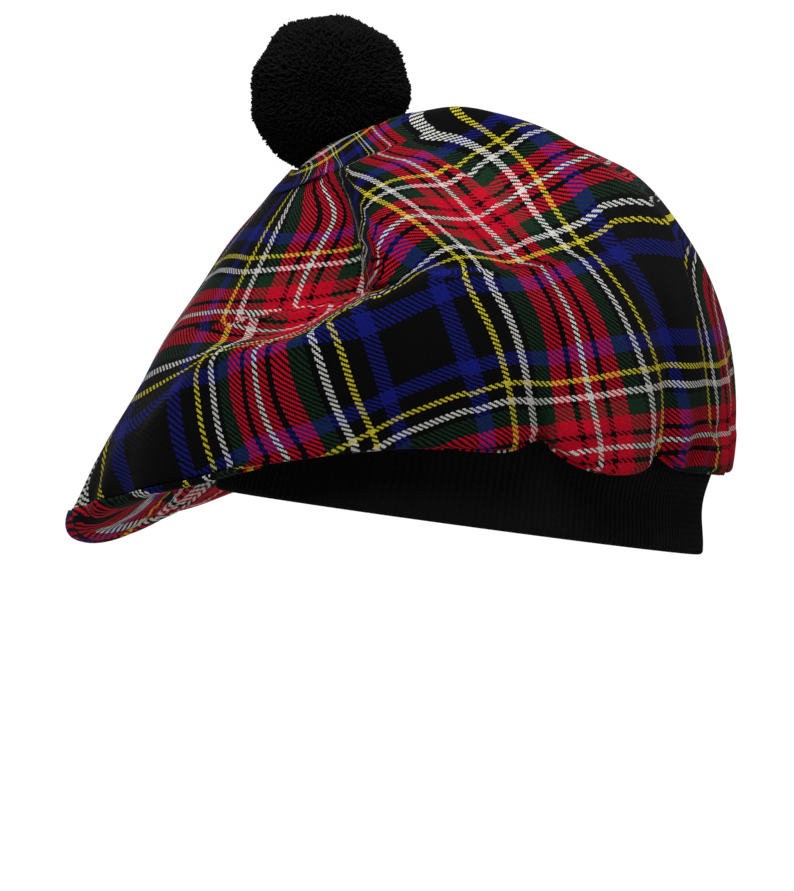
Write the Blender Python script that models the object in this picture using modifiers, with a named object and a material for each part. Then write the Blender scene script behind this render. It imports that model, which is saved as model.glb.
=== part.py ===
"""Tam o shanter: a large soft cloth crown, drawn down over one brow, on a knitted band, with a pompom.

The origin is the centre of the band's lower edge, +Z is up along the band and -Y is the wearer's front.
The crown is laid out in its own frame, turned about Z by CROWN_TURN_DEG. In that frame x runs from the
drooping lobe (negative) to the high side (positive), and y runs from the side that is worn in front of
the ear to the side behind it.
"""

import math

import bmesh
import bpy
import numpy as np
from mathutils import Matrix, Vector

# Band
BAND_LONG = 0.196
BAND_WIDE = 0.160
BAND_HEIGHT = 0.036
BAND_WALL = 0.003
BAND_WAIST = 0.0025

# Crown
CROWN_TURN_DEG = 40
CROWN_HEIGHT = 0.146
CLOTH_WALL = 0.0012
OVERHANG = 0.051
LOBE_DROP = 0.049
SEWN_BELOW_TOP = 0.002
FOLD_DEPTH = 0.013
FOLD_WIDTH = 0.013

# Pompom and its seat in the crown
POMPOM_RADIUS = 0.0295
LOCK_LENGTH = 0.003
SEAT_OFFSET = 0.067
SEAT_HEIGHT = 0.1165
SEAT_RADIUS = 0.019

GAP = 0.0003

TURNS = 72
TOP_RINGS = 15
UNDER_RINGS = 5
# The two pieces run straight on from one to the other for this share of their curves at the seam.
SEAM_SHARE = 0.02

# One row for each meridian, at equal turns from the high side round past the front, the lobe and the back.
# seat is a share of SEAT_RADIUS, overhang and swell of OVERHANG, seam_drop of LOBE_DROP and the others
# of CROWN_HEIGHT.
MERIDIANS = ("turn", "seat", "overhang", "seam_drop", "rise_deg", "start", "shoulder", "swell", "belly")
MERIDIAN_TABLE = (
    (0, 1.00, 0.10, -0.03, 69, 0.46, 0.73, 0.12, 0.03),
    (30, 1.00, 0.15, -0.04, 60, 0.36, 0.67, 0.11, 0.03),
    (60, 0.95, 0.26, -0.07, 52, 0.27, 0.62, 0.18, 0.05),
    (90, 0.85, 0.28, -0.08, 44, 0.24, 0.62, 0.16, 0.05),
    (120, 0.65, 0.36, -0.34, -8, 0.20, 0.52, 0.26, 0.09),
    (150, 0.52, 0.75, -0.74, -44, 0.20, 0.32, 0.03, 0.16),
    (180, 0.50, 1.00, -1.00, -54, 0.20, 0.26, -0.22, 0.33),
    (210, 0.55, 1.03, -0.80, -42, 0.18, 0.30, -0.12, 0.24),
    (240, 0.65, 0.78, -0.42, 5, 0.18, 0.46, 0.00, 0.12),
    (270, 0.85, 0.45, -0.20, 54, 0.34, 0.62, 0.18, 0.07),
    (300, 0.95, 0.29, -0.02, 69, 0.46, 0.64, 0.18, 0.05),
    (330, 1.00, 0.14, 0.00, 72, 0.53, 0.67, 0.12, 0.03),
)

# Where the cloth's edge is gathered to the band in front: at a turn, over a width, how far the seam is
# lifted, as a share of LOBE_DROP, and how much less it stands out, as a share of OVERHANG.
GATHERS = ("turn", "wide_deg", "lift", "draw")
GATHER_TABLE = ((75, 5, 0.12, 0.10), (39, 5, 0.10, 0.07), (57, 10, -0.05, -0.04))

# One row for each fold on the side worn in front: a curve through three places seen from that side.
# x is a share of the lobe's reach and z of CROWN_HEIGHT. The cloth beside the curve is sunk by
# a share of FOLD_DEPTH at each end, over shares of FOLD_WIDTH on the curve's left and right.
FOLDS = (
    ("from_x", "from_z", "mid_x", "mid_z", "to_x", "to_z")
    + ("from_depth", "to_depth", "left", "right")
)
FOLD_TABLE = {
    "pocket_behind_crest": (-0.80, 0.26, -0.49, 0.42, -0.27, 0.56, 0.1, 1.0, 2.4, 0.5),
    "pocket_under_roll": (-0.26, 0.58, -0.11, 0.65, 0.09, 0.63, 1.0, 0.1, 1.6, 0.5),
    "edge_of_roll": (-0.33, 0.55, -0.38, 0.68, -0.45, 0.80, 0.7, 0.5, 1.8, 0.5),
    "side_tuck": (0.39, 0.86, 0.54, 0.63, 0.62, 0.34, 0.2, 0.4, 0.4, 0.9),
    "gather_in_front": (0.175, 0.20, 0.185, 0.28, 0.20, 0.38, 0.7, 0.1, 0.5, 0.5),
    "gather_at_side": (0.51, 0.19, 0.52, 0.28, 0.53, 0.38, 0.5, 0.1, 0.5, 0.5),
}


def bezier(points, share):
    """The place at a share of a cubic curve; each point is an array of one place or many."""
    a, b, c, d = points
    left = 1 - share
    return left**3 * a + 3 * left**2 * share * b + 3 * left * share**2 * c + share**3 * d


def meridian(turn):
    """The table's columns at any turn in radians, smooth from row to row and round the crown."""
    rows = np.array(MERIDIAN_TABLE, float)
    count = len(rows)
    place = turn / (2 * math.pi) * count
    step = int(math.floor(place))
    share = place - step
    before, here, after, beyond = (rows[(step + i) % count] for i in (-1, 0, 1, 2))
    slope_here = (after - before) / 2
    slope_after = (beyond - here) / 2
    values = bezier((here, here + slope_here / 3, after - slope_after / 3, after), share)
    row = dict(zip(MERIDIANS, values))
    for values in GATHER_TABLE:
        gather = dict(zip(GATHERS, values))
        near = math.exp(-(((math.degrees(turn) - gather["turn"]) / gather["wide_deg"]) ** 2))
        row["seam_drop"] += gather["lift"] * near
        row["overhang"] -= gather["draw"] * near
    return row


def outward(turn):
    """The level direction at a turn in the crown's own frame."""
    return np.array((math.cos(turn), -math.sin(turn), 0.0))


def band_radius(turn):
    """How far the band's outside is from its axis, at a turn in the crown's own frame."""
    row_turn = math.radians(CROWN_TURN_DEG) - turn
    across = math.cos(row_turn) / (BAND_WIDE / 2)
    along = math.sin(row_turn) / (BAND_LONG / 2)
    return 1 / math.hypot(across, along)


def band_draw(height):
    """How far the band draws in at a height, slack at both edges and tight between them."""
    share = height / BAND_HEIGHT
    return BAND_WAIST * math.sin(math.pi * min(max(share, 0), 1)) ** 2


SEAM_LEVEL = BAND_HEIGHT - SEWN_BELOW_TOP
LOBE_REACH = band_radius(math.pi) + OVERHANG
UP = np.array((0.0, 0.0, 1.0))
SEAT = np.array((-SEAT_OFFSET, 0.0, SEAT_HEIGHT))


def rim(turn, row):
    """The place of the seam at the crown's rim."""
    reach = band_radius(turn) + OVERHANG * row["overhang"]
    return outward(turn) * reach + UP * (SEAM_LEVEL + LOBE_DROP * row["seam_drop"])


def top_curve(turn):
    """The four points of the cloth's curve from the seat of the pompom to the rim."""
    row = meridian(turn)
    rise = math.radians(row["rise_deg"])
    start = SEAT + outward(turn) * SEAT_RADIUS * row["seat"]
    leave = outward(turn) * math.cos(rise) + UP * math.sin(rise)
    edge = rim(turn, row)
    shoulder = edge + UP * CROWN_HEIGHT * row["shoulder"] + outward(turn) * OVERHANG * row["swell"]
    return start, start + leave * CROWN_HEIGHT * row["start"], shoulder, edge


def under_curve(turn):
    """The four points of the cloth's curve from the rim, round below it, to the band."""
    row = meridian(turn)
    edge = rim(turn, row)
    shoulder = top_curve(turn)[2]
    down = (edge - shoulder) / np.linalg.norm(edge - shoulder)
    hang = CROWN_HEIGHT * row["belly"] / 2 + CLOTH_WALL
    sewn_radius = band_radius(turn) - band_draw(SEAM_LEVEL) + GAP
    sewn = outward(turn) * sewn_radius + UP * SEAM_LEVEL
    clear = outward(turn) * 2 * CLOTH_WALL
    beside_band = sewn + clear - UP * CROWN_HEIGHT * row["belly"]
    return edge + down * GAP, edge + down * hang, beside_band, sewn


def fold_line(fold):
    """Places along a fold's curve, across and up, and the shares of its length that they stand at."""
    first, middle, last = (
        np.array((fold[f"{at}_x"] * LOBE_REACH, fold[f"{at}_z"] * CROWN_HEIGHT))
        for at in ("from", "mid", "to")
    )
    bend = 2 * middle - (first + last) / 2
    shares = np.linspace(0, 1, 25)[:, None]
    line = (1 - shares) ** 2 * first + 2 * (1 - shares) * shares * bend + shares**2 * last
    return line, shares[:, 0]


def fold_shift(place):
    """How far the folds move a place of the cloth, towards the back of the crown's own frame."""
    front = min(max((-place[1] - SEAT_RADIUS) / (BAND_WIDE / 4), 0), 1)
    if not front:
        return 0.0
    moved = 0.0
    for values in FOLD_TABLE.values():
        fold = dict(zip(FOLDS, values))
        line, shares = fold_line(fold)
        apart = place[[0, 2]] - line
        near = int(np.argmin(np.linalg.norm(apart, axis=1)))
        ahead = line[min(near + 1, 24)] - line[max(near - 1, 0)]
        on_left = ahead[0] * apart[near][1] - ahead[1] * apart[near][0] > 0
        width = FOLD_WIDTH * fold["left" if on_left else "right"]
        depth = fold["from_depth"] + (fold["to_depth"] - fold["from_depth"]) * shares[near]
        moved += FOLD_DEPTH * depth * math.exp(-((np.linalg.norm(apart[near]) / width) ** 2))
    return moved * front


def clear_of_band(place):
    """The place, moved straight out from the band's axis if the cloth there would meet the band."""
    radius = math.hypot(place[0], place[1])
    least = band_radius(math.atan2(-place[1], place[0])) + GAP + 2 * CLOTH_WALL
    if place[2] < BAND_HEIGHT + 2 * CLOTH_WALL and radius < least:
        place[:2] *= least / radius
    return place


def top_ring(curves, share):
    """A ring of places on the top piece, with the folds in it."""
    places = [bezier(curve, share) for curve in curves]
    for place in places:
        place[1] += fold_shift(place)
    return [clear_of_band(place) for place in places]


def under_ring(curves, share):
    """A ring of places on the piece below, whose folds die out towards the band."""
    if share == 1:
        return [curve[3] for curve in curves]
    places = [bezier(curve, share) for curve in curves]
    for place in places:
        place[1] += fold_shift(place) * (1 - share)
    return [clear_of_band(place) for place in places]


def skin(name, rings, matrix, closed_start=None):
    """A sheet through rings of places, each ring with the same count; closed_start closes the first ring."""
    sheet = bmesh.new()
    rows = [[sheet.verts.new(place) for place in ring] for ring in rings]
    count = len(rows[0])
    for one, two in zip(rows, rows[1:]):
        for i in range(count):
            j = (i + 1) % count
            sheet.faces.new((one[i], one[j], two[j], two[i]))
    if closed_start is not None:
        centre = sheet.verts.new(closed_start)
        for i in range(count):
            sheet.faces.new((centre, rows[0][(i + 1) % count], rows[0][i]))
    bmesh.ops.transform(sheet, matrix=matrix, verts=sheet.verts)
    mesh = bpy.data.meshes.new(name)
    sheet.to_mesh(mesh)
    sheet.free()
    mesh.shade_smooth()
    piece = bpy.data.objects.new(name, mesh)
    bpy.context.scene.collection.children["tam_o_shanter"].objects.link(piece)
    return piece


def thicken(piece, wall):
    shell = piece.modifiers.new("wall", "SOLIDIFY")
    shell.thickness = wall
    shell.offset = -1


def finish(piece, name, colour, roughness):
    material = bpy.data.materials.new(name)
    material.use_nodes = True
    shader = material.node_tree.nodes["Principled BSDF"]
    shader.inputs["Base Color"].default_value = (*colour, 1)
    shader.inputs["Roughness"].default_value = roughness
    shader.inputs["Metallic"].default_value = 0
    piece.data.materials.append(material)


def make_crown():
    turns = [2 * math.pi * i / TURNS for i in range(TURNS)]
    turned = Matrix.Rotation(math.radians(CROWN_TURN_DEG), 4, "Z")
    tops = [top_curve(turn) for turn in turns]
    unders = [under_curve(turn) for turn in turns]
    top_shares = [i / TOP_RINGS for i in range(TOP_RINGS)] + [1 - SEAM_SHARE, 1]
    under_shares = [0, SEAM_SHARE] + [(i + 1) / UNDER_RINGS for i in range(UNDER_RINGS)]
    top_rings = [top_ring(tops, share) for share in top_shares]
    under_rings = [under_ring(unders, share) for share in under_shares]
    top = skin("crown_top", top_rings, turned, closed_start=SEAT)
    under = skin("crown_under", under_rings, turned)
    for piece in (top, under):
        thicken(piece, CLOTH_WALL)
    finish(top, "tartan_cloth", (0.16, 0.03, 0.04), 0.85)
    finish(under, "tartan_cloth_under", (0.16, 0.03, 0.04), 0.85)


def make_band():
    steps = 6
    rings = []
    for i in range(steps + 1):
        height = BAND_HEIGHT * (1 - i / steps)
        rings.append(
            [
                outward(turn) * (band_radius(turn) - band_draw(height)) + UP * height
                for turn in (2 * math.pi * j / TURNS for j in range(TURNS))
            ]
        )
    band = skin("knit_band", rings, Matrix.Rotation(math.radians(CROWN_TURN_DEG), 4, "Z"))
    thicken(band, BAND_WALL)
    finish(band, "rib_knit", (0.012, 0.012, 0.014), 0.95)


def make_pompom():
    """A ball whose faces are each drawn out into a lock, flat where it sits on the crown."""
    ball = bmesh.new()
    bmesh.ops.create_uvsphere(ball, u_segments=18, v_segments=11, radius=POMPOM_RADIUS - LOCK_LENGTH)
    bmesh.ops.inset_individual(ball, faces=ball.faces[:], thickness=LOCK_LENGTH / 3, depth=LOCK_LENGTH)
    floor = LOCK_LENGTH / 2 - POMPOM_RADIUS
    for vert in ball.verts:
        vert.co.z = max(vert.co.z, floor)
    bmesh.ops.recalc_face_normals(ball, faces=ball.faces)
    centre = Vector(SEAT) + Vector((0, 0, GAP - floor))
    bmesh.ops.transform(ball, matrix=Matrix.Translation(centre), verts=ball.verts)
    bmesh.ops.transform(ball, matrix=Matrix.Rotation(math.radians(CROWN_TURN_DEG), 4, "Z"), verts=ball.verts)
    mesh = bpy.data.meshes.new("pompom")
    ball.to_mesh(mesh)
    ball.free()
    pompom = bpy.data.objects.new("pompom", mesh)
    bpy.context.scene.collection.children["tam_o_shanter"].objects.link(pompom)
    finish(pompom, "wool_pompom", (0.008, 0.008, 0.009), 0.95)


for thing in list(bpy.data.objects):
    bpy.data.objects.remove(thing, do_unlink=True)
bpy.context.scene.collection.children.link(bpy.data.collections.new("tam_o_shanter"))
make_crown()
make_band()
make_pompom()
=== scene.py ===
import math

import bpy
import numpy as np
from mathutils import Matrix, Vector


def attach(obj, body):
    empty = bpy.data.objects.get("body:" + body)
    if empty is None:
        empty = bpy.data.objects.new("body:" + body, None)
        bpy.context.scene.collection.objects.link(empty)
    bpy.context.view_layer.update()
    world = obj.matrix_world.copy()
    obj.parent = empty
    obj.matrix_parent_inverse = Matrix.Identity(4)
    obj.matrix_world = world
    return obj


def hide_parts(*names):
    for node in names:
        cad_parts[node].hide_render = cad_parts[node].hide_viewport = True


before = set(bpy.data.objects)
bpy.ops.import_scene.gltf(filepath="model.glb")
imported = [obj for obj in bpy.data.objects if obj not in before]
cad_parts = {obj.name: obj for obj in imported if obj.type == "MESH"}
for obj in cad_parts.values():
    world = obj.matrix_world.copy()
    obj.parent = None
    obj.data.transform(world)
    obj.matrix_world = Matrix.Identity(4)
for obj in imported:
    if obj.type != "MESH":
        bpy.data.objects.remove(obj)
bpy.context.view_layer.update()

# The camera: level with the hat and a long way off, turned to the side that is worn in front, and tipped
# so that the high side of the crown stands to the right. All that follows is laid out in the crown's own
# frame, which is turned about Z by CROWN_TURN: x from the drooping lobe to the high side, y away.
PICTURE_WIDE, PICTURE_HIGH = 794, 891
PIXELS_PER_METRE = 2800
ORIGIN_SHOWS_AT = (460, 522)
CAMERA_AWAY = 4.0
CAMERA_RAISED = math.radians(0.5)
CAMERA_TIPPED = math.radians(7.9)
CROWN_TURN = math.radians(40)

crown_to_row = np.array(Matrix.Rotation(CROWN_TURN, 3, "Z"))
level = np.array((1.0, 0.0, 0.0))
upright = np.array((0.0, math.sin(CAMERA_RAISED), math.cos(CAMERA_RAISED)))
to_camera = np.array((0.0, -math.cos(CAMERA_RAISED), math.sin(CAMERA_RAISED)))
camera_right = math.cos(CAMERA_TIPPED) * level + math.sin(CAMERA_TIPPED) * upright
camera_up = math.cos(CAMERA_TIPPED) * upright - math.sin(CAMERA_TIPPED) * level
looked_at = (
    camera_right * (PICTURE_WIDE / 2 - ORIGIN_SHOWS_AT[0]) / PIXELS_PER_METRE
    + camera_up * (ORIGIN_SHOWS_AT[1] - PICTURE_HIGH / 2) / PIXELS_PER_METRE
)
camera_place = looked_at + to_camera * CAMERA_AWAY

bpy.ops.object.select_all(action="DESELECT")
bpy.ops.object.camera_add()
camera = bpy.context.object
camera.name = "camera"
axes = crown_to_row @ np.stack((camera_right, camera_up, to_camera), axis=1)
camera.matrix_world = Matrix.Translation(crown_to_row @ camera_place) @ Matrix(axes.tolist()).to_4x4()
camera.data.lens = camera.data.sensor_width * PIXELS_PER_METRE * CAMERA_AWAY / PICTURE_HIGH
camera.data.clip_start, camera.data.clip_end = 0.1, 100
bpy.context.scene.camera = camera


def shows_at(places):
    """Where places in the crown's frame show in the picture, in pixels, and how far off they are."""
    apart = places - camera_place
    far = -apart @ to_camera
    scale = PIXELS_PER_METRE * CAMERA_AWAY / far
    across = PICTURE_WIDE / 2 + apart @ camera_right * scale
    down = PICTURE_HIGH / 2 - apart @ camera_up * scale
    return np.stack((across, down), axis=-1), far


def from_picture(pixels, depth):
    """The places in the crown's frame that show at these pixels, at a depth along y."""
    pixels = np.asarray(pixels, float)
    across = (pixels[..., 0:1] - PICTURE_WIDE / 2) / (PIXELS_PER_METRE * CAMERA_AWAY)
    up = (PICTURE_HIGH / 2 - pixels[..., 1:2]) / (PIXELS_PER_METRE * CAMERA_AWAY)
    along = camera_right * across + camera_up * up - to_camera
    return camera_place + along * (depth - camera_place[1]) / along[..., 1:2]


# The band: a black rib knit that grips the head. It is knitted double and folded at its lower edge, so that
# edge is round, and the crown is sewn on inside its upper edge. Each rib is a column of V-shaped stitches.
BAND_LONG, BAND_WIDE, BAND_HIGH = 0.196, 0.160, 0.036
BAND_WALL = 0.003
BAND_WAIST = 0.0025
BAND_ROWS, BAND_EDGE_ROWS = 15, 5
RIBS = 208
RIB_HIGH = 0.00045
# Every so many ribs, one stands lower.
LOW_RIB_EVERY, LOW_RIB_SHARE = 13, 0.9
STEPS_IN_RIB = 6
STITCH_HIGH = 0.0021
BLACK_DEEP, BLACK_WORN = (0.002, 0.002, 0.002, 1), (0.006, 0.006, 0.006, 1)


def outward(turns):
    """Level directions in the crown's frame, from the high side at 0 round past the camera's side."""
    turns = np.asarray(turns, float)
    return np.stack((np.cos(turns), -np.sin(turns), 0 * turns), axis=-1)


def band_radius(turns):
    row_turns = CROWN_TURN - turns
    return 1 / np.hypot(np.cos(row_turns) / (BAND_WIDE / 2), np.sin(row_turns) / (BAND_LONG / 2))


def band_draw(heights):
    """How far the band draws in, slack at both edges and tight between them."""
    return BAND_WAIST * np.sin(math.pi * np.clip(heights / BAND_HIGH, 0, 1)) ** 2


def new_grid(name, columns, rows):
    """A fresh grid of columns by rows of points, row after row, to be laid over a shape."""
    bpy.ops.object.select_all(action="DESELECT")
    bpy.ops.mesh.primitive_grid_add(x_subdivisions=columns - 1, y_subdivisions=rows - 1, size=1)
    piece = bpy.context.object
    piece.name = piece.data.name = name
    return piece


def lay(piece, places, cloth=None):
    """Lays a grid's points at places in the crown's frame, with the cloth's own coordinates as its UV map."""
    row_places = (places.reshape(-1, 3) @ crown_to_row.T).astype(np.float32)
    piece.data.vertices.foreach_set("co", row_places.ravel())
    if cloth is not None:
        corners = np.empty(len(piece.data.loops), np.int32)
        piece.data.loops.foreach_get("vertex_index", corners)
        piece.data.uv_layers[0].name = "cloth"
        piece.data.uv_layers["cloth"].uv.foreach_set("vector", cloth.reshape(-1, 2)[corners].ravel())
    piece.data.update()


def close_seams(piece, merge=0.00001):
    """Joins the points that meet where a grid closes on itself."""
    bpy.context.view_layer.objects.active = piece
    bpy.ops.object.mode_set(mode="EDIT")
    bpy.ops.mesh.select_all(action="SELECT")
    bpy.ops.mesh.remove_doubles(threshold=merge)
    bpy.ops.object.mode_set(mode="OBJECT")
    bpy.ops.object.shade_smooth()


def faces_outward(piece, centre):
    """Turns the faces over where most of them look at the centre."""
    total = sum((poly.center - centre).dot(poly.normal) * poly.area for poly in piece.data.polygons)
    if total < 0:
        bpy.ops.object.mode_set(mode="EDIT")
        bpy.ops.mesh.select_all(action="SELECT")
        bpy.ops.mesh.flip_normals()
        bpy.ops.object.mode_set(mode="OBJECT")


def add_node(tree, kind, links=(), **settings):
    """A node with its settings, its inputs set to numbers or linked from other sockets."""
    node = tree.nodes.new(kind)
    for key, value in settings.items():
        setattr(node, key, value)
    for key, value in dict(links).items():
        if isinstance(value, bpy.types.NodeSocket):
            tree.links.new(value, node.inputs[key])
        else:
            node.inputs[key].default_value = value
    return node


def reckon(tree, operation, *values):
    return add_node(tree, "ShaderNodeMath", enumerate(values), operation=operation).outputs[0]


def new_material(name, roughness, **inputs):
    material = bpy.data.materials.new(name)
    material.use_nodes = True
    shader = material.node_tree.nodes["Principled BSDF"]
    shader.inputs["Roughness"].default_value = roughness
    for key, value in inputs.items():
        shader.inputs[key.replace("_", " ")].default_value = value
    return material, material.node_tree, shader


def wear(piece, material):
    piece.data.materials.clear()
    piece.data.materials.append(material)


columns = RIBS * STEPS_IN_RIB
turns = np.linspace(0, 2 * math.pi, columns + 1)
edge_round = np.linspace(0, math.pi, BAND_EDGE_ROWS + 2)[1:-1]
half_wall = BAND_WALL / 2
upper_edge = BAND_HIGH - half_wall
down_outside = np.linspace(BAND_HIGH - BAND_WALL / 2, BAND_WALL / 2, BAND_ROWS)
# The knit's outline as it is cut through: heights, and how far in from the outside.
profile = np.concatenate((
    [(height, 0.0) for height in down_outside],
    [(half_wall - half_wall * math.sin(a), -half_wall * (1 - math.cos(a))) for a in edge_round],
    [(height, -BAND_WALL) for height in down_outside[::-1]],
    [(upper_edge + half_wall * math.sin(a), -half_wall * (1 + math.cos(a))) for a in edge_round],
))
profile = np.concatenate((profile, profile[:1]))
ribs = np.abs(np.cos(turns * RIBS / 2)) ** 0.7
ribs[:: STEPS_IN_RIB * LOW_RIB_EVERY] *= LOW_RIB_SHARE
radius = (
    band_radius(turns)[None, :]
    - band_draw(profile[:, 0])[:, None]
    + profile[:, 1, None]
    + RIB_HIGH * (ribs[None, :] - 1) * np.where(profile[:, 1, None] > -half_wall, 1, -1)
)
places = outward(turns)[None] * radius[..., None]
places[..., 2] = profile[:, 0, None]
rib_place = np.broadcast_to(turns[None, :] / (2 * math.pi) * RIBS, radius.shape)
stitch_place = np.broadcast_to((profile[:, 0] / STITCH_HIGH)[:, None], radius.shape)
knit_band = new_grid("band_of_rib_knit", columns + 1, len(profile))
lay(knit_band, places, np.stack((rib_place, stitch_place), axis=-1))
close_seams(knit_band)
faces_outward(knit_band, Vector((0, 0, BAND_HIGH / 2)))

# Black wool's fuzz, from deep to worn black, on the band and on the pompom.
fuzz = bpy.data.node_groups.new("black_fuzz", "ShaderNodeTree")
fuzz.interface.new_socket("Scale", in_out="INPUT", socket_type="NodeSocketFloat")
fuzz.interface.new_socket("Colour", in_out="OUTPUT", socket_type="NodeSocketColor")
fuzz.interface.new_socket("Height", in_out="OUTPUT", socket_type="NodeSocketFloat")
entry, leave = fuzz.nodes.new("NodeGroupInput"), fuzz.nodes.new("NodeGroupOutput")
on_piece = add_node(fuzz, "ShaderNodeTexCoord").outputs["Object"]
specks = add_node(
    fuzz, "ShaderNodeTexNoise", {"Vector": on_piece, "Scale": entry.outputs["Scale"], "Detail": 3.0}
)
blacks = add_node(
    fuzz, "ShaderNodeMix", {0: specks.outputs["Fac"], 6: BLACK_DEEP, 7: BLACK_WORN}, data_type="RGBA"
)
fuzz.links.new(blacks.outputs[2], leave.inputs["Colour"])
fuzz.links.new(specks.outputs["Fac"], leave.inputs["Height"])

# Each stitch is half of a V, whose arm slants up from the furrow between two ribs.
material, tree, shader = new_material(
    "rib_knit", 0.95, Specular_IOR_Level=0.06, Sheen_Weight=0.02, Sheen_Roughness=0.6
)
on_knit = add_node(tree, "ShaderNodeUVMap", uv_map="cloth").outputs[0]
knit = add_node(tree, "ShaderNodeSeparateXYZ", {0: on_knit})
in_rib = reckon(tree, "PINGPONG", knit.outputs["X"], 0.5)
slanted = reckon(tree, "MULTIPLY_ADD", in_rib, 1.2, knit.outputs["Y"])
stitch = reckon(tree, "PINGPONG", slanted, 0.5)
between = reckon(tree, "SUBTRACT", stitch, reckon(tree, "MULTIPLY", in_rib, 0.9))
band_fuzz = add_node(tree, "ShaderNodeGroup", {"Scale": 900.0}, node_tree=fuzz)
height = reckon(tree, "ADD", between, band_fuzz.outputs["Height"])
bump = add_node(tree, "ShaderNodeBump", {"Strength": 0.7, "Distance": 0.0005, "Height": height})
tree.links.new(bump.outputs[0], shader.inputs["Normal"])
tree.links.new(band_fuzz.outputs["Colour"], shader.inputs["Base Color"])
wear(knit_band, material)
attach(knit_band, "root")
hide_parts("knit_band")

# The crown: a round of tartan twill, drawn down over the brow into a lobe and sewn at its rim to a ring of
# the same cloth, which runs back under it to the band. The cloth is slack, and falls in one large crest
# across the front, a roll beside the pompom and tucks at the high side.
CROWN_HIGH = 0.146
CLOTH_WALL = 0.0012
OVERHANG = 0.051
LOBE_DROP = 0.049
SEWN_BELOW_TOP = 0.002
SEAT_RADIUS = 0.019
SEAT = np.array((-0.067, 0.0, 0.1165))
GAP = 0.0003
SEAM_LEVEL = BAND_HIGH - SEWN_BELOW_TOP
CROWN_COLUMNS, TOP_ROWS, UNDER_ROWS = 288, 150, 40

# The cloth's run at equal turns, from the high side past the front, the lobe and the back. overhang and
# swell are shares of OVERHANG, seam_drop of LOBE_DROP, seat of SEAT_RADIUS, the others of CROWN_HIGH.
MERIDIANS = ("seat", "overhang", "seam_drop", "rise_deg", "start", "shoulder", "swell", "belly")
MERIDIAN_TABLE = (
    (1.00, 0.10, -0.03, 69, 0.46, 0.73, 0.12, 0.03),
    (1.00, 0.15, -0.04, 60, 0.36, 0.67, 0.11, 0.03),
    (0.95, 0.26, -0.07, 52, 0.27, 0.62, 0.18, 0.04),
    (0.85, 0.28, -0.08, 44, 0.24, 0.62, 0.16, 0.05),
    (0.65, 0.36, -0.34, -8, 0.20, 0.52, 0.26, 0.06),
    (0.52, 0.75, -0.78, -44, 0.20, 0.34, 0.02, 0.11),
    (0.50, 1.00, -1.00, -54, 0.20, 0.26, -0.22, 0.33),
    (0.55, 1.03, -0.80, -42, 0.18, 0.30, -0.12, 0.24),
    (0.65, 0.78, -0.42, 5, 0.18, 0.46, 0.00, 0.12),
    (0.85, 0.45, -0.20, 54, 0.34, 0.62, 0.18, 0.07),
    (0.95, 0.29, -0.02, 69, 0.46, 0.64, 0.18, 0.05),
    (1.00, 0.14, 0.00, 72, 0.53, 0.67, 0.12, 0.03),
)

# Where the cloth is gathered to the band in front. The turn and the width are in degrees, lift is a share of
# LOBE_DROP, draw of OVERHANG, and tight says how much less it bags below its edge. Between the two gathers
# it bags more.
GATHERS = ("turn", "wide", "lift", "draw", "tight")
GATHER_TABLE = ((75, 5, 0.13, 0.14, 0.9), (39, 5, 0.11, 0.08, 0.9), (57, 10, -0.06, -0.06, -0.5))

# The slack top stands up in a ridge, which starts before the pompom and runs to the high side, and sags
# behind it. Each has its own depth along the view, and its width.
RIDGES = ("across", "high", "sag")
RIDGE_TABLE = (
    (-0.075, 0.0, 0.0),
    (-0.055, 0.006, 0.0),
    (-0.043, 0.012, 0.001),
    (-0.030, 0.013, 0.004),
    (-0.010, 0.012, 0.006),
    (0.010, 0.010, 0.006),
    (0.030, 0.007, 0.004),
    (0.050, 0.002, 0.0),
    (0.070, 0.0, 0.0),
)
RIDGE_DEPTH, RIDGE_WIDE = -0.028, 0.015
SAG_DEPTH, SAG_WIDE = 0.012, 0.035

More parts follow.
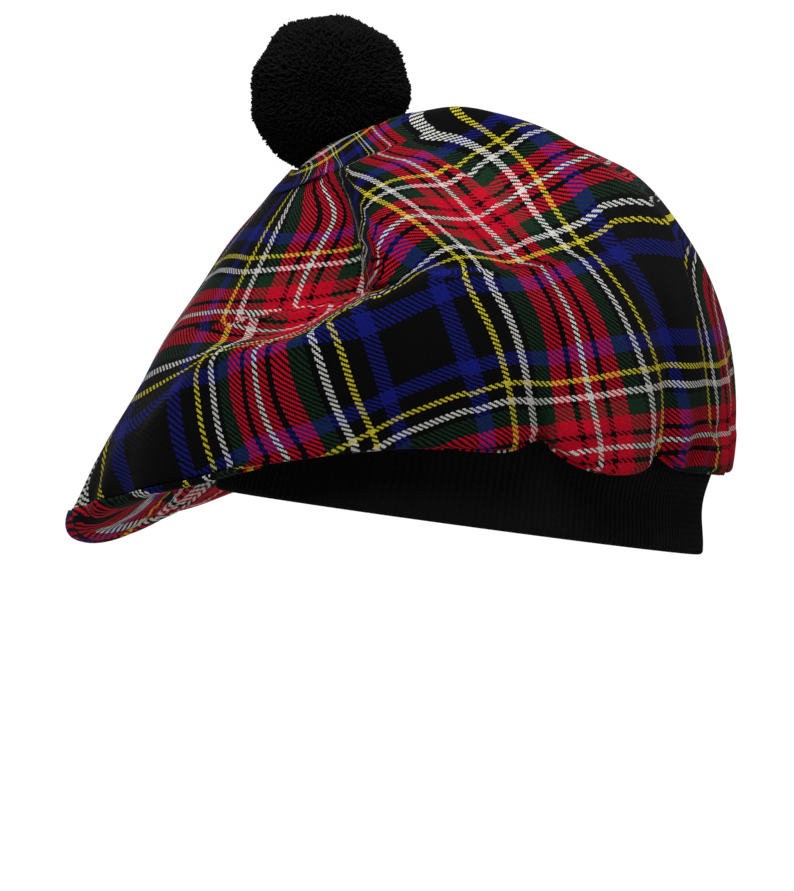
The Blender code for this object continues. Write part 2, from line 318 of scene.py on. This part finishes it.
# Each fold is a line of places, in pixels of the picture, with the raised side on the right as it runs.
# Then, in metres: how far the low side sinks and over what width, how far the raised side stands out and
# over what width, and how far its edge leans over the low side. strengths are at the line's start, middle
# and end, and slips says how much the cloth on the low side slips past the other. A fold fades out towards
# the back from one of its depths to the other, along the view, and its low side sinks the way that sinks_to
# gives: straight back, or, at the tuck, in from the high side.
FOLDS = (
    ("line", "sinks", "low_wide", "stands", "high_wide", "leans")
    + ("strengths", "slips", "depths", "sinks_to")
)
FOLD_TABLE = {
    "crest": (
        (
            (128, 425), (160, 385), (205, 346), (230, 341), (300, 331),
            (350, 304), (385, 286), (430, 262), (480, 258), (520, 268),
        ),
        0.013, 0.030, 0.003, 0.020, 0.006, (0.15, 1.0, 0.0), 1.0, (-0.059, -0.019), (0.0, 1.0),
    ),
    "edge_of_roll": (
        ((372, 296), (368, 275), (364, 250), (358, 225), (350, 205), (340, 185), (333, 168)),
        0.011, 0.028, 0.003, 0.014, 0.005, (1.0, 1.0, 0.5), 1.5, (-0.059, -0.019), (0.0, 1.0),
    ),
    "crease_by_valley": (
        ((395, 200), (418, 214), (450, 234), (484, 254), (506, 266), (530, 284), (560, 312)),
        0.009, 0.020, 0.001, 0.008, 0.0005, (0.1, 1.0, 0.2), 0.0, (-0.059, -0.019), (0.0, 1.0),
    ),
    "side_tuck": (
        (
            (640, 168), (656, 191), (677, 216), (690, 250), (699, 292),
            (705, 340), (712, 380), (716, 420), (722, 440),
        ),
        0.005, 0.009, 0.002, 0.012, 0.002, (0.2, 1.0, 0.8), 0.0, (-0.005, 0.030), (-0.9, 0.4),
    ),
    "crease_above_gather": (
        ((554, 446), (550, 430), (543, 412), (534, 395), (526, 380)),
        0.005, 0.010, 0.003, 0.016, 0.001, (1.0, 0.6, 0.05), 0.0, (-0.040, -0.020), (0.0, 1.0),
    ),
    "crease_at_side_gather": (
        ((698, 412), (693, 430), (689, 446), (687, 462)),
        0.004, 0.008, 0.003, 0.012, 0.001, (0.1, 0.6, 1.0), 0.0, (-0.012, 0.0), (0.0, 1.0),
    ),
}
# Over how much a fold ends, how sharp its edge is, and the depth of the lines along the view.
FOLD_END, FOLD_EDGE, FOLD_LINE_DEPTH = 0.004, 0.0012, -0.09
# How high the cloth's small unevenness is, and its gathers at the band, which start at a share of its run.
UNEVEN_HIGH, RIPPLE_HIGH, GATHER_HIGH, GATHERS_FROM = 0.0007, 0.0004, 0.0011, 0.8


def bezier(points, shares):
    """Places at shares of cubic curves, each given by four points."""
    a, b, c, d = points
    left = 1 - shares
    return left**3 * a + 3 * left**2 * shares * b + 3 * left * shares**2 * c + shares**3 * d


def run_of_cloth(turns):
    """The meridian table's columns at any turns, smooth from row to row and round the crown."""
    rows = np.array(MERIDIAN_TABLE, float)
    place = turns / (2 * math.pi) * len(rows)
    step = np.floor(place).astype(int)
    share = (place - step)[:, None]
    before, here, after, beyond = (rows[(step + i) % len(rows)] for i in (-1, 0, 1, 2))
    values = bezier((here, here + (after - before) / 6, after - (beyond - here) / 6, after), share)
    run = dict(zip(MERIDIANS, values.T[..., None]))
    for values in GATHER_TABLE:
        gather = dict(zip(GATHERS, values))
        near = np.exp(-(((np.degrees(turns) - gather["turn"]) / gather["wide"]) ** 2))[:, None]
        run["seam_drop"] = run["seam_drop"] + gather["lift"] * near
        run["overhang"] = run["overhang"] - gather["draw"] * near
        run["belly"] = run["belly"] * (1 - gather["tight"] * near)
    return run


def smooth_line(points, per_stretch=12):
    """Places close together along a smooth curve through the points."""
    points = np.asarray(points, float)
    ends = np.concatenate((2 * points[:1] - points[1:2], points, 2 * points[-1:] - points[-2:-1]))
    shares = np.linspace(0, 1, per_stretch, endpoint=False)[:, None]
    stretches = [
        bezier((b, b + (c - a) / 6, c - (d - b) / 6, c), shares)
        for a, b, c, d in zip(ends, ends[1:], ends[2:], ends[3:])
    ]
    return np.concatenate(stretches + [points[-1:]])


def beside(line, places):
    """How far places are to a line's left, at what share of it, how near its ends keep them, and its left."""
    apart = places[:, None] - line[None]
    near = np.argmin((apart**2).sum(-1), axis=1)
    ahead = line[np.minimum(near + 1, len(line) - 1)] - line[np.maximum(near - 1, 0)]
    ahead /= np.linalg.norm(ahead, axis=-1, keepdims=True)
    left = np.stack((-ahead[:, 1], ahead[:, 0]), axis=-1)
    nearest = apart[np.arange(len(places)), near]
    side = np.sign((nearest * left).sum(-1))
    away = np.linalg.norm(nearest, axis=-1)
    past_end = (near == 0) | (near == len(line) - 1)
    kept = np.where(past_end, np.exp(-((away / FOLD_END) ** 2)), 1.0)
    return side * away, near / (len(line) - 1), kept, left


def folds_at(places):
    """Each fold's row, how far places are over to its low side, how strong it is there, and its left."""
    flat, depth = places[..., [0, 2]].reshape(-1, 2), places[..., 1].ravel()
    for values in FOLD_TABLE.values():
        kind = dict(zip(FOLDS, values))
        line = from_picture(smooth_line(kind["line"]), FOLD_LINE_DEPTH)[:, [0, 2]]
        apart, share, kept, left = beside(line, flat)
        apart += kind["leans"]
        strength = np.interp(share, (0, 0.5, 1), kind["strengths"])
        strength = strength * np.interp(depth, kind["depths"], (1, 0)) * kept
        yield kind, apart, strength, left


def fold(places):
    """The places with the folds in them."""
    moved = np.zeros((places[..., 0].size, 3))
    for kind, apart, strength, left in folds_at(places):
        low = 0.5 + 0.5 * np.tanh(apart / FOLD_EDGE)
        sunk = kind["sinks"] * low * np.exp(-((apart / kind["low_wide"]) ** 2))
        raised = kind["stands"] * (1 - low) * np.exp(-((apart / kind["high_wide"]) ** 2))
        lean = kind["leans"] * np.exp(-((apart / (0.75 * kind["leans"] + 0.001)) ** 2))
        moved[:, :2] += (strength * (sunk - raised))[:, None] * kind["sinks_to"]
        moved[:, 0] += strength * lean * left[:, 0]
        moved[:, 2] += strength * lean * left[:, 1]
    return places + moved.reshape(places.shape)


def crumple(places, turns, shares):
    """The slack cloth's small unevenness, and the gathers that deepen towards the band."""
    around = turns[None, :]
    soft = UNEVEN_HIGH * np.sin(5 * around + 9 * shares) * np.sin(14 * shares + 1.3 * np.sin(3 * around))
    soft += RIPPLE_HIGH * np.sin(13 * around - 17 * shares + 2) * np.sin(math.pi * shares)
    near_band = np.clip(shares - GATHERS_FROM, 0, 1) / (1 - GATHERS_FROM)
    gathered = GATHER_HIGH * np.sin(31 * around + 3 * np.sin(4 * around)) * near_band
    return places + outward(turns)[None] * (soft + gathered)[..., None]


def clear_of_band(places):
    """Places moved straight out from the band's axis where the cloth would meet the band."""
    radius = np.hypot(places[..., 0], places[..., 1])
    least = band_radius(np.arctan2(-places[..., 1], places[..., 0])) + GAP + 2 * CLOTH_WALL
    short = (places[..., 2] < BAND_HIGH + 2 * CLOTH_WALL) & (radius < least)
    places[..., :2] *= np.where(short, least / radius, 1)[..., None]
    return places


turns = np.linspace(0, 2 * math.pi, CROWN_COLUMNS + 1)
out, up = outward(turns), np.array((0.0, 0.0, 1.0))
run = run_of_cloth(turns)
rise = np.radians(run["rise_deg"])
rim_reach = band_radius(turns)[:, None] + OVERHANG * run["overhang"]
rim = out * rim_reach + up * (SEAM_LEVEL + LOBE_DROP * run["seam_drop"])
seat_edge = SEAT + out * SEAT_RADIUS * run["seat"]
leaving = seat_edge + (out * np.cos(rise) + up * np.sin(rise)) * CROWN_HIGH * run["start"]
shoulder = rim + up * CROWN_HIGH * run["shoulder"] + out * OVERHANG * run["swell"]
down = (rim - shoulder) / np.linalg.norm(rim - shoulder, axis=-1, keepdims=True)
sewn_radius = (band_radius(turns) - band_draw(SEAM_LEVEL) + GAP)[:, None]
sewn = out * sewn_radius + up * SEAM_LEVEL
beside_band = sewn + out * 2 * CLOTH_WALL - up * CROWN_HIGH * run["belly"]
below_rim = rim + down * (CROWN_HIGH * run["belly"] / 2 + CLOTH_WALL)
top_shares = np.linspace(0, 1, TOP_ROWS)[:, None, None]
under_shares = np.linspace(0, 1, UNDER_ROWS)[:, None, None]
top_slack = bezier((seat_edge, leaving, shoulder, rim), top_shares)
under_slack = bezier((rim + down * GAP, below_rim, beside_band, sewn), under_shares)
ridge = dict(zip(RIDGES, smooth_line(RIDGE_TABLE).T))
for amount, depth, wide in ((ridge["high"], RIDGE_DEPTH, RIDGE_WIDE), (-ridge["sag"], SAG_DEPTH, SAG_WIDE)):
    near = np.exp(-(((top_slack[..., 1] - depth) / wide) ** 2))
    top_slack[..., 2] += np.interp(top_slack[..., 0], ridge["across"], amount) * near
top_places = clear_of_band(crumple(fold(top_slack), turns, top_shares[..., 0]))
folded = crumple(fold(under_slack), turns, np.ones_like(under_shares[..., 0]))
under_places = under_slack + (folded - under_slack) * (1 - under_shares)
under_places[:-1] = clear_of_band(under_places[:-1])

# How the pattern lies on the cloth. Its threads run from the seat down to the band and round the crown, six
# repeats in all, and are then shifted by pins. At a fold the cloth on one side slips past the other.
HALF_REPEAT = 0.059
ROUND_THE_CROWN = 12
FRONT_TURN = math.radians(88)
FRONT_ON_CLOTH = (1.28, -1.5)
SLIP, SLIP_EDGE, SLIP_REACH = 1.6, 0.0015, 0.05

# Over the top, beside the pompom, the cloth lies nearly flat, with the pattern straight on it.
TOP_MIDDLE = (2.79, -0.74)
TOP_TO_RIGHT, TOP_TO_BACK = (0.48, 1.25), (0.56, -0.76)
TOP_FLAT_TURN, TOP_FLAT_WIDE, TOP_FLAT_LONG = 20, 85, 0.13

# Each pin is a crossing of the pattern's lines, in half repeats along both threads, and where it shows in
# the picture. A pin holds the nearest cloth, up to so many pixels off and so many metres behind the front.
PINS = ("along", "down", "across_picture", "down_picture")
PIN_PIXELS, PIN_BEHIND = 7, 0.008
# How far a pin's shift reaches, in half repeats, and how much it gives way to its neighbours.
PIN_REACH, PIN_GIVES = 1.2, 0.02
TOP_PINS = (
    (0, 0, 295, 310), (-0.2, 0, 269, 312), (-0.41, 0, 243, 312), (-0.545, 0, 227, 311),
    (0, -0.545, 317, 252), (-0.545, -0.545, 251, 261), (0, -0.41, 310, 265), (0.2, -0.41, 336, 265),
    (0.41, -0.41, 364, 266), (0.12, -0.545, 330, 250), (0.3, -0.545, 359, 250), (0.28, 0, 338, 311),
    (0.41, -0.12, 363, 293), (0, -0.72, 325, 237), (0, -1, 337, 215), (-0.41, -1, 294, 198),
    (-0.545, -1, 281, 200), (-0.545, -1.455, 301, 167), (-0.41, -1.455, 316, 165), (-0.41, -1.59, 322, 159),
    (-0.545, -1.59, 308, 159), (-0.545, 0.545, 203, 360), (-0.41, 0.545, 216, 351), (-0.72, 0.72, 178, 384),
    (-0.545, 0.72, 197, 373), (-1.28, 0.72, 119, 432), (-1.455, 0.72, 112, 423), (-1.455, 1.03, 96, 480),
    (-1.59, 1.03, 83, 484), (-1.455, 1.2, 118, 505), (-1.59, 1.2, 103, 511), (-1.28, 1, 112, 480),
    (-1, 1, 148, 461), (-0.72, 1, 181, 437), (-0.72, 1.17, 184, 467), (-0.545, 1, 202, 421),
    (-0.545, 1.22, 215, 464), (-0.41, 1.29, 231, 463), (-1, 1.15, 159, 486), (0, 0.72, 254, 348),
    (0, 1, 260, 400), (0, 1.28, 275, 442), (0, 1.36, 286, 457), (0.41, 0.6, 309, 328),
    (0.545, 0.66, 328, 322), (0.545, 1, 347, 376), (0.41, 1.455, 353, 443), (0.545, 1.59, 381, 448),
    (0.72, 0.72, 357, 301), (0.72, 1, 377, 366), (0.72, 1.28, 387, 398), (1.28, 0.72, 444, 274),
    (1.28, 1.28, 473, 371), (1.1, 0, 380, 276), (1.2, 0, 380, 247), (1.3, 0, 386, 232),
    (1.455, 0, 412, 216), (1.455, -0.545, 368, 194), (1.455, 0.545, 457, 254), (1.455, 0.98, 489, 321),
    (1.455, 1.455, 507, 380), (1.59, -1, 346, 176), (1.59, -0.72, 366, 180), (1.59, -0.41, 390, 190),
    (1.59, 0.96, 509, 321), (1.59, 1.455, 526, 382), (1.7, -1, 355, 163), (1.7, -0.72, 379, 170),
    (2, -1.42, 362, 135), (2, -1, 392, 146), (2, -0.72, 413, 161), (2, -0.545, 433, 178),
    (2, -0.41, 440, 189), (2, 0, 471, 222), (2, 0.41, 506, 251), (2, 0.545, 515, 261), (2, 1, 572, 306),
    (2, 1.455, 583, 380), (2, 2, 601, 447), (2.29, -0.29, 486, 176), (2.41, -1.15, 427, 112),
    (2.41, -0.85, 455, 131), (2.41, -0.545, 482, 151), (2.41, -0.41, 491, 158), (2.41, 0, 522, 188),
    (2.41, 1.455, 644, 369), (2.41, 2, 652, 446), (2.545, -0.545, 499, 138), (2.545, -0.8, 480, 127),
    (2.545, -0.41, 510, 147), (2.545, 0, 540, 180), (2.545, 0.41, 570, 229), (2.545, 1.59, 662, 384),
    (2.72, -0.72, 499, 118), (2.72, 0.72, 614, 254), (2.72, 1.28, 665, 341), (3.05, 0, 610, 154),
    (3.08, 0.41, 655, 195), (3.1, 0.545, 680, 212), (3.1, 1, 697, 290), (3.12, 1.455, 705, 362),
    (2.72, 1.8, 689, 418), (2.95, 2, 704, 434), (4, 1, 711, 290), (4, 1.3, 721, 334), (4, 1.6, 730, 383),
    (3.88, 1.85, 727, 415),
)
UNDER_PINS = ((-1.455, 2, 142, 519), (-1.59, 2, 157, 516), (-1.07, 2, 90, 529), (-2, 2, 196, 507))


def fold_sides(places):
    """For each fold, how far over to its low side places are, fading out away from it and at its ends."""
    sides = []
    for kind, apart, strength, left in folds_at(places):
        over = np.tanh(apart / SLIP_EDGE) * np.exp(-((apart / SLIP_REACH) ** 2))
        sides.append(strength * kind["slips"] * over / 2)
    return np.stack(sides, axis=-1)


def pinned(cloth, places, slack, pins):
    """The cloth's coordinates, shifted smoothly so that every pin's crossing shows where the pin says."""
    shown, far = shows_at(places)
    where = np.concatenate((places.reshape(-1, 3) / HALF_REPEAT, SLIP * fold_sides(slack)), axis=-1)
    flat_cloth = cloth.reshape(-1, 2)
    spots, shifts = [], []
    for values in pins:
        pin = dict(zip(PINS, values))
        off = np.linalg.norm(shown - (pin["across_picture"], pin["down_picture"]), axis=-1).ravel()
        close = off < max(PIN_PIXELS, off.min() + 1)
        front = far.ravel() < far.ravel()[close].min() + PIN_BEHIND
        best = np.argmin(np.where(close & front, off, np.inf))
        spots.append(where[best])
        shift = np.array((pin["along"], pin["down"])) - flat_cloth[best]
        shifts.append(shift - (ROUND_THE_CROWN * round(shift[0] / ROUND_THE_CROWN), 0))
    spots, shifts = np.array(spots), np.array(shifts)

    def pull(apart):
        scaled = math.sqrt(3) * apart / PIN_REACH
        return (1 + scaled) * np.exp(-scaled)

    between = np.linalg.norm(spots[:, None] - spots[None], axis=-1)
    weights = np.linalg.solve(pull(between) + PIN_GIVES * np.eye(len(spots)), shifts)
    shift = np.zeros_like(flat_cloth)
    for spot, weight in zip(spots, weights):
        shift += pull(np.linalg.norm(where - spot, axis=-1))[:, None] * weight
    return (flat_cloth + shift).reshape(cloth.shape)


def lengths_down(places):
    """How far each place is along its column from the first row."""
    steps = np.linalg.norm(np.diff(places, axis=0), axis=-1)
    return np.concatenate((np.zeros((1, places.shape[1])), np.cumsum(steps, axis=0)))


top_lengths = SEAT_RADIUS * run["seat"][:, 0] + lengths_down(top_slack)
along = FRONT_ON_CLOTH[0] + (FRONT_TURN - turns) / (2 * math.pi) * ROUND_THE_CROWN
top_cloth = np.stack(
    np.broadcast_arrays(along[None], FRONT_ON_CLOTH[1] + top_lengths / HALF_REPEAT), axis=-1
)
to_right, to_back = (top_slack[..., axis, None] / HALF_REPEAT for axis in (0, 1))
flat_cloth = TOP_MIDDLE + to_right * TOP_TO_RIGHT + to_back * TOP_TO_BACK
flat_cloth[..., 0] += ROUND_THE_CROWN * np.round((top_cloth[..., 0] - flat_cloth[..., 0]) / ROUND_THE_CROWN)
off_turn = (np.degrees(turns) - TOP_FLAT_TURN + 180) % 360 - 180
flatness = np.exp(-((off_turn / TOP_FLAT_WIDE) ** 4) - (top_lengths / TOP_FLAT_LONG) ** 4)[..., None]
top_cloth += flatness * (flat_cloth - top_cloth)
top_cloth = pinned(top_cloth, top_places, top_slack, TOP_PINS)
under_cloth = top_cloth[-1:] + lengths_down(under_slack)[..., None] / HALF_REPEAT * (0, 1)

# The seam shows along the lobe. Elsewhere the top piece is carried round the rim and on under it, for
# a share of the way to the band, and laps over the underside by a share of a row.
CARRIED, LAP = 0.5, 0.7
SEAM_SHOWS = (124, 132, 232, 246)
carried = np.interp(np.degrees(turns), SEAM_SHOWS, (1, 0, 0, 1))
under_pinned = pinned(under_cloth, under_places, under_slack, UNDER_PINS)
under_cloth += (under_pinned - under_cloth) * (1 - carried)[:, None]
last_row = TOP_ROWS - 1 + carried * (1 + CARRIED * (UNDER_ROWS - 1))
first_row = last_row + 1 - LAP * carried


def along_rows(values, rows):
    """Values of a grid at places between its rows, in every column."""
    step = np.clip(rows.astype(int), 0, len(values) - 2)
    share = (rows - step)[..., None]
    column = np.arange(values.shape[1])[None]
    return values[step, column] * (1 - share) + values[step + 1, column] * share


whole_places = np.concatenate((top_places, under_places))
whole_cloth = np.concatenate((top_cloth, under_cloth))
top_rows = np.linspace(0, 1, TOP_ROWS + UNDER_ROWS // 2)[:, None] * last_row
under_rows = first_row + np.linspace(0, 1, UNDER_ROWS)[:, None] * (len(whole_places) - 1 - first_row)
top_places, under_places = along_rows(whole_places, top_rows), along_rows(whole_places, under_rows)
top_cloth, under_cloth = along_rows(whole_cloth, top_rows), along_rows(whole_cloth, under_rows)
centre_places = np.broadcast_to(SEAT, (1, CROWN_COLUMNS + 1, 3))
centre_cloth = top_cloth[:1] - (0, SEAT_RADIUS / HALF_REPEAT)
top_places = np.concatenate((centre_places, top_places))
top_cloth = np.concatenate((centre_cloth, top_cloth))


def sew(name, places, cloth):
    """A cloth piece through rows of places, as thick as the cloth."""
    piece = new_grid(name, places.shape[1], places.shape[0])
    lay(piece, places, cloth)
    close_seams(piece)
    faces_outward(piece, Vector((0, 0, CROWN_HIGH / 2)))
    wall = piece.modifiers.new("wall", "SOLIDIFY")
    wall.thickness = CLOTH_WALL
    wall.offset = -1
    bpy.ops.object.modifier_apply(modifier="wall")
    return piece


crown_top = sew("crown_of_tartan", top_places, top_cloth)
crown_under = sew("underside_of_tartan", under_places, under_cloth)

# The twill: each thread passes over two and under two, one step further on in each row, so diagonals run
# across the cloth. Both ways the threads follow one order of colours, mirrored at its two ends.
THREADS_IN_HALF = 105
# From where on each yarn's colour runs, in half repeats.
SETT = (
    (0.0, "white"), (0.018, "red"), (0.080, "black"), (0.120, "red"),
    (0.235, "green"), (0.350, "black"), (0.390, "white"), (0.430, "black"),
    (0.520, "yellow"), (0.565, "black"), (0.670, "blue"), (0.780, "black"),
)
YARNS = {
    "white": (0.66, 0.66, 0.62, 1),
    "red": (0.58, 0.004, 0.022, 1),
    "black": (0.0022, 0.0022, 0.0024, 1),
    "green": (0.008, 0.030, 0.014, 1),
    "yellow": (0.62, 0.53, 0.030, 1),
    "blue": (0.007, 0.010, 0.170, 1),
}

twill = bpy.data.node_groups.new("tartan_twill", "ShaderNodeTree")
twill.interface.new_socket("Cloth", in_out="INPUT", socket_type="NodeSocketVector")
twill.interface.new_socket("Colour", in_out="OUTPUT", socket_type="NodeSocketColor")
twill.interface.new_socket("Height", in_out="OUTPUT", socket_type="NodeSocketFloat")
entry, leave = twill.nodes.new("NodeGroupInput"), twill.nodes.new("NodeGroupOutput")
cloth_axes = add_node(twill, "ShaderNodeSeparateXYZ", {0: entry.outputs["Cloth"]})


def threads(axis):
    """One way of the threads: the number of each, its colour, and how near a place is to its middle."""
    counted = reckon(twill, "MULTIPLY", cloth_axes.outputs[axis], float(THREADS_IN_HALF))
    number = reckon(twill, "FLOOR", counted)
    middle = reckon(twill, "DIVIDE", reckon(twill, "ADD", number, 0.5), float(THREADS_IN_HALF))
    order = add_node(twill, "ShaderNodeValToRGB", {0: reckon(twill, "PINGPONG", middle, 1.0)})
    order.color_ramp.interpolation = "CONSTANT"
    while len(order.color_ramp.elements) < len(SETT):
        order.color_ramp.elements.new(1.0)
    for element, (start, yarn) in zip(order.color_ramp.elements, SETT):
        element.position = start
        element.color = YARNS[yarn]
    off_middle = reckon(twill, "PINGPONG", reckon(twill, "SUBTRACT", counted, 0.5), 0.5)
    fallen = reckon(twill, "MULTIPLY", off_middle, reckon(twill, "MULTIPLY", off_middle, 2.6))
    rounded = reckon(twill, "SUBTRACT", 1.0, fallen)
    return number, order.outputs["Color"], rounded


number_along, colour_along, round_along = threads("X")
number_down, colour_down, round_down = threads("Y")
step = reckon(twill, "FLOORED_MODULO", reckon(twill, "SUBTRACT", number_along, number_down), 4.0)
over = reckon(twill, "LESS_THAN", step, 1.5)
woven = add_node(twill, "ShaderNodeMix", {0: over, 6: colour_down, 7: colour_along}, data_type="RGBA")
rounded = add_node(twill, "ShaderNodeMix", {0: over, 2: round_down, 3: round_along})
numbers = add_node(twill, "ShaderNodeCombineXYZ", {0: number_along, 1: number_down, 2: over})
uneven = add_node(twill, "ShaderNodeTexWhiteNoise", {"Vector": numbers.outputs[0]})
nap = add_node(twill, "ShaderNodeTexNoise", {"Vector": entry.outputs["Cloth"], "Scale": 60.0, "Detail": 4.0})
brushed = reckon(twill, "MULTIPLY_ADD", nap.outputs["Fac"], 0.6, 0.52)
worn = reckon(twill, "MULTIPLY_ADD", uneven.outputs["Value"], 0.35, brushed)
# Each thread's colour is painted darker towards its edges, as painted shade in the grooves between threads;
# it also varies at random from thread to thread and with the brushed nap.
painted_shade_and_tone = reckon(twill, "MULTIPLY", worn, reckon(twill, "MULTIPLY_ADD", rounded.outputs[0], 0.55, 0.45))
woven_with_painted_shade = add_node(twill, "ShaderNodeVectorMath", {0: woven.outputs[2], 1: painted_shade_and_tone}, operation="MULTIPLY")
twill.links.new(woven_with_painted_shade.outputs[0], leave.inputs["Colour"])
height = reckon(twill, "MULTIPLY_ADD", nap.outputs["Fac"], 0.5, rounded.outputs[0])
twill.links.new(height, leave.inputs["Height"])

for piece, node in ((crown_top, "crown_top"), (crown_under, "crown_under")):
    material, tree, shader = new_material(
        "tartan_cloth_" + node, 0.9, Specular_IOR_Level=0.05, Sheen_Weight=0.02, Sheen_Roughness=0.5
    )
    group = add_node(tree, "ShaderNodeGroup", node_tree=twill)
    tree.links.new(add_node(tree, "ShaderNodeUVMap", uv_map="cloth").outputs[0], group.inputs["Cloth"])
    tree.links.new(group.outputs["Colour"], shader.inputs["Base Color"])
    bump = add_node(
        tree, "ShaderNodeBump", {"Strength": 0.5, "Distance": 0.0003, "Height": group.outputs["Height"]}
    )
    tree.links.new(bump.outputs[0], shader.inputs["Normal"])
    wear(piece, material)
    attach(piece, "root")
    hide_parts(node)

# The pompom: a ball of cut black wool, tied at its middle, with every yarn end trimmed to the round. The
# ends stand close together and spread at their tips.
POMPOM_RADIUS = 0.0295
YARN_ENDS = 9000
YARN_LONG, YARN_THICK = 0.007, 0.0011
YARN_CORNERS = 3
# How thick a yarn is at shares of its length, from its root to its cut end.
YARN_RINGS = ((0.0, 0.45), (0.45, 0.8), (0.85, 1.0), (1.0, 0.55))
YARN_STRAYS, YARN_BENDS, YARN_TRIM = 0.012, 0.0006, 0.0002
SUNK_IN_SEAT, TIPS_BELOW, CORE_BELOW = 0.0015, 0.0008, 0.003
LUMPS_HIGH, DENTS_HIGH = 0.0006, 0.0005
pompom_centre = SEAT + up * (GAP + POMPOM_RADIUS - SUNK_IN_SEAT)
chance = np.random.default_rng(7)
numbers = np.arange(YARN_ENDS) + 0.5
tilt = np.arccos(1 - 2 * numbers / YARN_ENDS)
about = math.pi * (1 + math.sqrt(5)) * numbers
ways = np.stack((np.sin(tilt) * np.cos(about), np.sin(tilt) * np.sin(about), np.cos(tilt)), axis=-1)
ways += chance.normal(0, YARN_STRAYS, ways.shape)
ways /= np.linalg.norm(ways, axis=-1, keepdims=True)
lumps = LUMPS_HIGH * np.sin(ways[:, 0] * 9 + 1) * np.sin(ways[:, 1] * 8 + 2)
lumps = lumps + DENTS_HIGH * np.sin(ways[:, 2] * 11)
tips = POMPOM_RADIUS - TIPS_BELOW + lumps + chance.normal(0, YARN_TRIM, YARN_ENDS)
side = np.cross(ways, chance.normal(0, 1, ways.shape))
side /= np.linalg.norm(side, axis=-1, keepdims=True)
other_side = np.cross(ways, side)
bends = chance.normal(0, YARN_BENDS, (YARN_ENDS, 2))
corner_turns = np.arange(YARN_CORNERS) * 2 * math.pi / YARN_CORNERS
rings = []
for share, thick in YARN_RINGS:
    middle = ways * (tips - YARN_LONG * (1 - share))[:, None]
    middle = middle + (side * bends[:, :1] + other_side * bends[:, 1:]) * share**2
    half = YARN_THICK / 2 * thick
    ring = [middle + half * (side * math.cos(a) + other_side * math.sin(a)) for a in corner_turns]
    rings.append(np.stack(ring, axis=1))
points = np.stack(rings, axis=1).reshape(-1, 3) + pompom_centre
yarn_points = len(YARN_RINGS) * YARN_CORNERS
yarn_faces = []
for first in range(0, yarn_points - YARN_CORNERS, YARN_CORNERS):
    for corner in range(YARN_CORNERS):
        here, beyond = first + corner, first + (corner + 1) % YARN_CORNERS
        yarn_faces.append((here, beyond, beyond + YARN_CORNERS, here + YARN_CORNERS))
yarn_faces.append(tuple(range(yarn_points - YARN_CORNERS, yarn_points)))
faces = [[yarn_points * yarn + i for i in face] for yarn in range(YARN_ENDS) for face in yarn_faces]
yarn_mesh = bpy.data.meshes.new("pompom_of_cut_wool")
yarn_mesh.from_pydata((points @ crown_to_row.T).tolist(), [], faces)
yarn_mesh.update()
yarn_mesh.shade_smooth()
pompom = bpy.data.objects.new("pompom_of_cut_wool", yarn_mesh)
bpy.context.scene.collection.objects.link(pompom)
bpy.ops.object.select_all(action="DESELECT")
bpy.ops.mesh.primitive_uv_sphere_add(
    segments=32, ring_count=16, radius=POMPOM_RADIUS - CORE_BELOW, location=crown_to_row @ pompom_centre
)
core = bpy.context.object
bpy.ops.object.transform_apply(location=True, rotation=True, scale=True)
core.name = "core_of_pompom"

material, tree, shader = new_material(
    "black_wool", 0.97, Specular_IOR_Level=0.05, Sheen_Weight=0.02, Sheen_Roughness=0.7
)
pompom_fuzz = add_node(tree, "ShaderNodeGroup", {"Scale": 700.0}, node_tree=fuzz)
tree.links.new(pompom_fuzz.outputs["Colour"], shader.inputs["Base Color"])
wear(pompom, material)
wear(core, material)
for piece in (pompom, core):
    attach(piece, "root")
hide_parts("pompom")

# The studio: a pale floor well below the hat, which is held up, a white surround and large soft lights.
bpy.ops.object.select_all(action="DESELECT")
bpy.ops.mesh.primitive_circle_add(vertices=96, radius=2.0, fill_type="NGON", location=(0, 0, -0.9))
floor = bpy.context.object
floor.name = "floor"
material, tree, shader = new_material("pale_floor", 0.8, Base_Color=(0.82, 0.82, 0.82, 1))
wear(floor, material)

for name, place, size, power in (
    ("key", (-0.7, -1.5, 1.7), 1.2, 34.0),
    ("fill", (1.5, -1.2, 0.6), 1.4, 7.0),
    ("top", (0.1, -0.1, 1.8), 1.4, 18.0),
    ("back", (-0.3, 1.6, 0.9), 1.4, 8.0),
):
    place = Vector(crown_to_row @ np.array(place))
    bpy.ops.object.light_add(type="AREA", location=place)
    light = bpy.context.object
    light.name = name
    light.data.size = size
    light.data.energy = power
    light.rotation_euler = (-place).to_track_quat("-Z", "Y").to_euler()

world = bpy.data.worlds.new("white_surround")
bpy.context.scene.world = world
world.use_nodes = True
surround = world.node_tree.nodes["Background"]
surround.inputs["Color"].default_value = (1, 1, 1, 1)
seen = add_node(world.node_tree, "ShaderNodeLightPath")
strength = reckon(world.node_tree, "MULTIPLY_ADD", seen.outputs["Is Camera Ray"], 0.95, 0.1)
world.node_tree.links.new(strength, surround.inputs["Strength"])
bpy.context.scene.view_settings.view_transform = "Standard"
